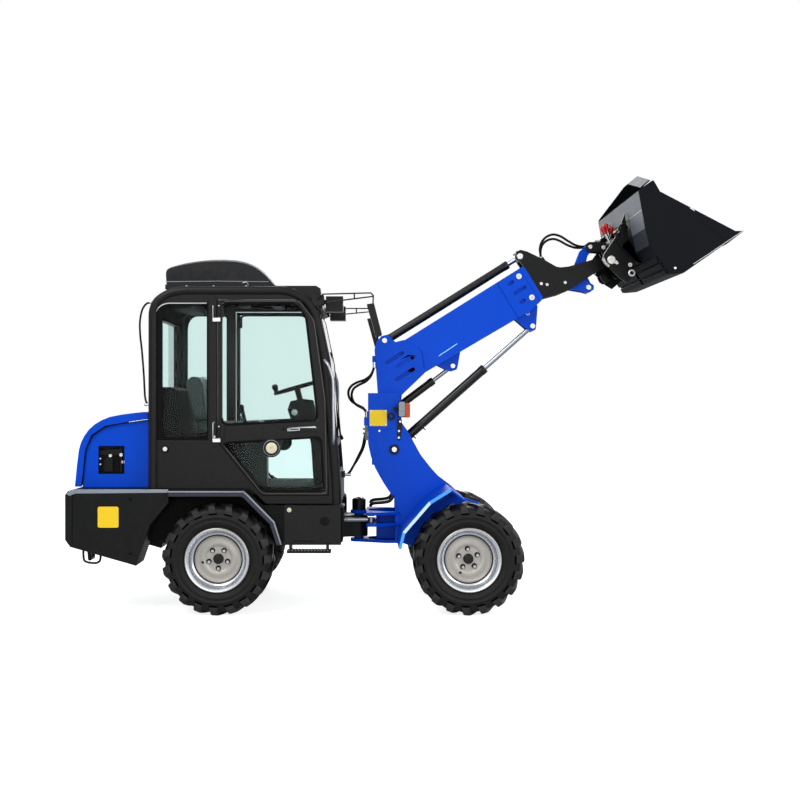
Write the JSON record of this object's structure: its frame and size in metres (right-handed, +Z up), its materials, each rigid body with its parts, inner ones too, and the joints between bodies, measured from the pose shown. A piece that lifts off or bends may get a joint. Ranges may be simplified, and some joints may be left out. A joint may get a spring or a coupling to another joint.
{
  "type": "compact articulated telescopic wheel loader",
  "caption": "Compact articulated wheel loader with a glazed cab, telescopic boom, quick hitch and bucket; steering, lift, telescope, tilt, doors, hood and wheels move.",
  "frame": {"origin": "on the ground plane, under the middle of the machine's length and width, with the boom part raised as stored", "axes": "+X forwards to the bucket, +Y to the machine's left, +Z up; rows of wheels stand on Z = 0"},
  "size_m": [4.6272, 1.44, 3.112],
  "materials": {
    "blue_paint": "semi-gloss enamel",
    "black_paint": "satin black enamel",
    "tyre": "matt",
    "rim": "semi-gloss grey",
    "glass": "clear, lightly tinted",
    "chrome_rod": "polished",
    "cast": "painted casting",
    "lamp": "clear lens over a reflector",
    "seat_cover": "padded vinyl",
    "plastic": "moulded, fine grain",
    "hose": "matt hydraulic hose"
  },
  "bodies": {
    "rear_body": {"rear_frame": "black_paint", "counterweight": "black_paint", "engine": "cast", "rear_axle": "cast", "hood_side_right": "blue_paint", "hood_side_left": "blue_paint", "cab_side_right": "black_paint", "cab_side_left": "black_paint", "side_glass_right": "glass", "side_glass_left": "glass", "rear_glass": "glass", "cab_roof": "black_paint", "windshield": "glass", "cab_tub": "plastic", "air_conditioner": "plastic", "mirror_right": "plastic", "mirror_left": "plastic", "side_box_right": "black_paint", "side_box_left": "black_paint", "seat": "seat_cover", "steering_column": "plastic", "hose_tower": "hose", "hose_cab": "hose"},
    "hood_body": {"hood": "blue_paint"},
    "door_right_body": {"door_right": "black_paint", "door_glass_right": "glass"},
    "door_left_body": {"door_left": "black_paint", "door_glass_left": "glass"},
    "rear_right_wheel": {"rear_right_tyre": "tyre", "rear_right_rim": "rim"},
    "rear_left_wheel": {"rear_left_tyre": "tyre", "rear_left_rim": "rim"},
    "steer_rod_right_body": {"steer_rod_right": "chrome_rod"},
    "steer_barrel_right_body": {"steer_barrel_right": "black_paint"},
    "steer_rod_left_body": {"steer_rod_left": "chrome_rod"},
    "steer_barrel_left_body": {"steer_barrel_left": "black_paint"},
    "front_body": {"front_frame": "blue_paint", "front_axle": "cast", "front_fender_right": "blue_paint", "front_fender_left": "blue_paint", "front_lamp_right": "lamp", "front_lamp_left": "lamp", "hose_boom": "hose"},
    "front_right_wheel": {"front_right_tyre": "tyre", "front_right_rim": "rim"},
    "front_left_wheel": {"front_left_tyre": "tyre", "front_left_rim": "rim"},
    "boom_body": {"boom": "blue_paint", "telescope_barrel": "black_paint"},
    "inner_boom_body": {"inner_boom": "black_paint", "telescope_rod": "chrome_rod", "hose_nose": "hose"},
    "rocker_body": {"tilt_rocker": "blue_paint"},
    "link_body": {"tilt_link": "black_paint"},
    "tool": {"hitch": "black_paint", "bucket": "black_paint"},
    "lift_barrel_body": {"lift_barrel": "black_paint"},
    "lift_rod_body": {"lift_rod": "chrome_rod"},
    "level_barrel_body": {"level_barrel": "black_paint"},
    "level_rod_body": {"level_rod": "chrome_rod"}
  },
  "joints": [
    {"name": "steering", "type": "hinge", "parent": "rear_body", "child": "front_body", "pos_m": [-0.30558, 0, 0.609], "axis": [0, 0, 1], "range_deg": [-35, 35], "deforming": ["hose_tower"]},
    {"name": "door_right_swing", "type": "hinge", "parent": "rear_body", "child": "door_right_body", "pos_m": [-1.26358, -0.572, 1.5], "axis": [0, 0, -1], "range_deg": [0, 95]},
    {"name": "door_left_swing", "type": "hinge", "parent": "rear_body", "child": "door_left_body", "pos_m": [-1.26358, 0.572, 1.5], "axis": [0, 0, 1], "range_deg": [0, 95]},
    {"name": "hood_lift", "type": "hinge", "parent": "rear_body", "child": "hood_body", "pos_m": [-1.78558, 0, 1.362], "axis": [0, 1, 0], "range_deg": [0, 50]},
    {"name": "rear_right_wheel_spin", "type": "hinge", "parent": "rear_body", "child": "rear_right_wheel", "pos_m": [-1.26458, -0.54, 0.38], "axis": [0, 1, 0], "continuous": true},
    {"name": "rear_left_wheel_spin", "type": "hinge", "parent": "rear_body", "child": "rear_left_wheel", "pos_m": [-1.26458, 0.54, 0.38], "axis": [0, 1, 0], "continuous": true},
    {"name": "front_right_wheel_spin", "type": "hinge", "parent": "front_body", "child": "front_right_wheel", "pos_m": [0.45042, -0.54, 0.38], "axis": [0, 1, 0], "continuous": true},
    {"name": "front_left_wheel_spin", "type": "hinge", "parent": "front_body", "child": "front_left_wheel", "pos_m": [0.45042, 0.54, 0.38], "axis": [0, 1, 0], "continuous": true},
    {"name": "boom_lift", "type": "hinge", "parent": "front_body", "child": "boom_body", "pos_m": [-0.07158, 0, 1.354], "axis": [0, -1, 0], "range_deg": [-66, 23], "deforming": ["hose_boom"]},
    {"name": "telescope", "type": "slide", "parent": "boom_body", "child": "inner_boom_body", "axis": [0.848, 0, 0.5299], "range_m": [0, 0.55]},
    {"name": "bucket_tilt", "type": "hinge", "parent": "inner_boom_body", "child": "tool", "pos_m": [1.53042, 0, 2.497], "axis": [0, 1, 0], "range_deg": [-32, 86], "deforming": ["hose_nose"]},
    {"name": "steer_barrel_left_swing", "type": "hinge", "parent": "rear_body", "child": "steer_barrel_left_body", "pos_m": [-0.78558, 0.23, 0.609], "axis": [0, 0, 1], "range_deg": [-5.38, 5.38]},
    {"name": "steer_rod_left_slide", "type": "slide", "parent": "steer_barrel_left_body", "child": "steer_rod_left_body", "axis": [0.999, -0.0438, 0], "range_m": [-0.1278, 0.1278]},
    {"name": "steer_barrel_right_swing", "type": "hinge", "parent": "rear_body", "child": "steer_barrel_right_body", "pos_m": [-0.78558, -0.23, 0.609], "axis": [0, 0, 1], "range_deg": [-5.38, 5.38]},
    {"name": "steer_rod_right_slide", "type": "slide", "parent": "steer_barrel_right_body", "child": "steer_rod_right_body", "axis": [0.999, 0.0438, 0], "range_m": [-0.1278, 0.1278]},
    {"name": "lift_barrel_swing", "type": "hinge", "parent": "front_body", "child": "lift_barrel_body", "pos_m": [-0.04758, 0, 1.112], "axis": [0, -1, 0], "range_deg": [-63.38, 22.41]},
    {"name": "lift_rod_slide", "type": "slide", "parent": "lift_barrel_body", "child": "lift_rod_body", "axis": [0.7479, 0, 0.6639], "range_m": [-0.2524, 0.0899]},
    {"name": "level_barrel_swing", "type": "hinge", "parent": "front_body", "child": "level_barrel_body", "pos_m": [-0.11558, 0, 1.345], "axis": [0, -1, 0], "range_deg": [-62.18, 22]},
    {"name": "level_rod_slide", "type": "slide", "parent": "level_barrel_body", "child": "level_rod_body", "axis": [0.7987, 0, 0.6018], "range_m": [-0.0046, 0.0075]},
    {"name": "rocker_swing", "type": "hinge", "parent": "inner_boom_body", "child": "rocker_body", "pos_m": [1.37942, 0, 2.297], "axis": [0, 1, 0], "range_deg": [-10.85, 28.33]},
    {"name": "link_swing", "type": "hinge", "parent": "rocker_body", "child": "link_body", "pos_m": [1.39442, 0, 2.596], "axis": [0, 1, 0], "range_deg": [-40.04, 15.21]}
  ],
  "couplings": [
    {"joint": "steer_barrel_left_swing", "follows": "steering", "ratio": 0.1395},
    {"joint": "steer_rod_left_slide", "follows": "steering", "m_per_rad": -0.2043},
    {"joint": "steer_barrel_right_swing", "follows": "steering", "ratio": 0.1395},
    {"joint": "steer_rod_right_slide", "follows": "steering", "m_per_rad": 0.2043},
    {"joint": "lift_barrel_swing", "follows": "boom_lift", "ratio": 0.9527},
    {"joint": "lift_rod_slide", "follows": "boom_lift", "m_per_rad": 0.2165},
    {"joint": "level_barrel_swing", "follows": "boom_lift", "ratio": 0.9346},
    {"joint": "level_rod_slide", "follows": "boom_lift", "m_per_rad": -0.0039},
    {"joint": "rocker_swing", "follows": "bucket_tilt", "ratio": 0.3236},
    {"joint": "link_swing", "follows": "bucket_tilt", "ratio": -0.4598}
  ]
}
